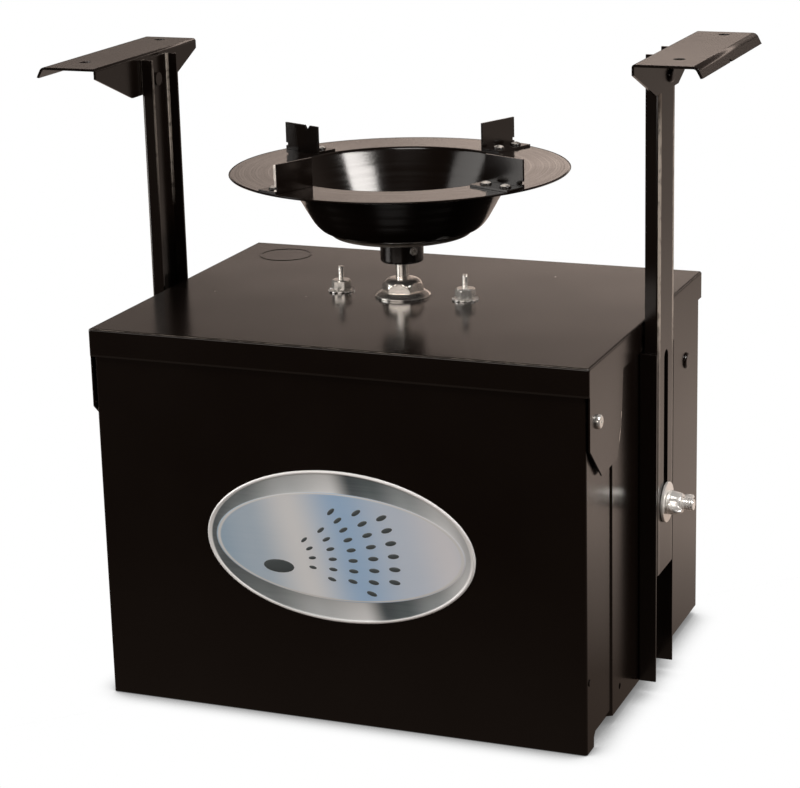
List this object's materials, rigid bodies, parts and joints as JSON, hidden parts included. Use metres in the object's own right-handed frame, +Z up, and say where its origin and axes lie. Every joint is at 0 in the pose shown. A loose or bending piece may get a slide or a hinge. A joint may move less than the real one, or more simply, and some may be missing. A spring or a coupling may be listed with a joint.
{
  "type": "spin cast feeder",
  "caption": "Box-shaped spin cast feeder drive: sheet steel housing with hinged front door, sliding slotted legs with drilled feet, and a motor-driven casting bowl with vanes on its lid.",
  "frame": {"origin": "on the ground under the centre of the lid, level with the underside of the base's runners", "axes": "+X to the right seen from the door side, +Y towards the back, +Z up along the spinner's shaft"},
  "size_m": [0.318, 0.186, 0.3036],
  "materials": {
    "powder_coat": "gloss dark brown-black powder coat",
    "zinc_plate": "bright zinc plate",
    "chrome_plate": "polished plate",
    "motor_steel": "satin",
    "black_plastic": "matt moulded",
    "brass_tab": "satin",
    "badge_foil": null,
    "battery_case": "printed card jacket, no marks",
    "post_steel": "nickel plate",
    "timer_plastic": "fine moulded texture",
    "board_green": "solder mask",
    "display_glass": "liquid crystal window",
    "button_rubber": "satin moulded",
    "button_red": "satin moulded",
    "lead_red": "satin",
    "lead_black": "satin"
  },
  "bodies": {
    "housing": {"base_pan": "powder_coat", "battery": "battery_case", "battery_lead_black": "lead_black", "battery_lead_red": "lead_red", "battery_posts": "post_steel", "battery_stop": "zinc_plate", "hinge_nuts": "zinc_plate", "hinge_screws": "zinc_plate", "housing_body": "powder_coat", "lead_clips": "zinc_plate", "left_clamp_bolt": "zinc_plate", "left_rail": "powder_coat", "left_washer": "zinc_plate", "lid": "powder_coat", "motor_can": "motor_steel", "motor_end_cap": "black_plastic", "motor_lead_black": "lead_black", "motor_lead_red": "lead_red", "motor_plate": "zinc_plate", "motor_screws": "zinc_plate", "motor_terminals": "brass_tab", "mount_spacers": "zinc_plate", "mount_studs": "zinc_plate", "rear_rivets": "powder_coat", "right_clamp_bolt": "zinc_plate", "right_rail": "powder_coat", "right_washer": "zinc_plate", "shaft_bushing": "chrome_plate", "stud_nuts": "zinc_plate", "stud_washers": "zinc_plate", "timer_back": "timer_plastic", "timer_board": "board_green", "timer_bracket": "zinc_plate", "timer_case": "timer_plastic", "timer_display": "display_glass", "timer_screws": "zinc_plate"},
    "door": {"front_door": "powder_coat", "badge": "badge_foil"},
    "left_leg_slide_body": {"left_leg": "powder_coat", "left_foot": "powder_coat", "left_foot_rivet": "powder_coat"},
    "right_leg_slide_body": {"right_leg": "powder_coat", "right_foot": "powder_coat", "right_foot_rivet": "powder_coat"},
    "left_nut": {"left_wing_nut": "zinc_plate"},
    "right_nut": {"right_wing_nut": "zinc_plate"},
    "spinner": {"motor_shaft": "chrome_plate", "spinner_hub": "powder_coat", "set_screw": "zinc_plate", "spinner_bowl": "powder_coat", "vane_1": "powder_coat", "vane_2": "powder_coat", "vane_3": "powder_coat", "vane_4": "powder_coat", "vane_rivets": "powder_coat"},
    "down_key": {"down_button": "button_rubber"},
    "up_key": {"up_button": "button_rubber"},
    "mode_key": {"mode_button": "button_rubber"},
    "test_key": {"test_button": "button_red"}
  },
  "joints": [
    {"name": "spinner_spin", "type": "hinge", "parent": "housing", "child": "spinner", "pos_m": [-0.0039, 0.0064, 0.2], "axis": [0, 0, 1], "continuous": true},
    {"name": "door_hinge", "type": "hinge", "parent": "housing", "child": "door", "pos_m": [0, -0.0806, 0.1525], "axis": [-1, 0, 0], "range_deg": [0, 95]},
    {"name": "left_leg_slide", "type": "slide", "parent": "housing", "child": "left_leg_slide_body", "axis": [0, 0, 1], "range_m": [-0.046, 0.011]},
    {"name": "right_leg_slide", "type": "slide", "parent": "housing", "child": "right_leg_slide_body", "axis": [0, 0, 1], "range_m": [-0.057, 0]},
    {"name": "left_nut_turn", "type": "hinge", "parent": "housing", "child": "left_nut", "pos_m": [-0.133, 0, 0.0906], "axis": [-1, 0, 0], "range_deg": [0, 540]},
    {"name": "right_nut_turn", "type": "hinge", "parent": "housing", "child": "right_nut", "pos_m": [0.133, 0, 0.0906], "axis": [1, 0, 0], "range_deg": [0, 540]},
    {"name": "down_press", "type": "slide", "parent": "housing", "child": "down_key", "axis": [0, 1, 0], "range_m": [0, 0.001], "stiffness_N_per_m": 600},
    {"name": "up_press", "type": "slide", "parent": "housing", "child": "up_key", "axis": [0, 1, 0], "range_m": [0, 0.001], "stiffness_N_per_m": 600},
    {"name": "mode_press", "type": "slide", "parent": "housing", "child": "mode_key", "axis": [0, 1, 0], "range_m": [0, 0.001], "stiffness_N_per_m": 600},
    {"name": "test_press", "type": "slide", "parent": "housing", "child": "test_key", "axis": [0, 1, 0], "range_m": [0, 0.001], "stiffness_N_per_m": 600}
  ]
}
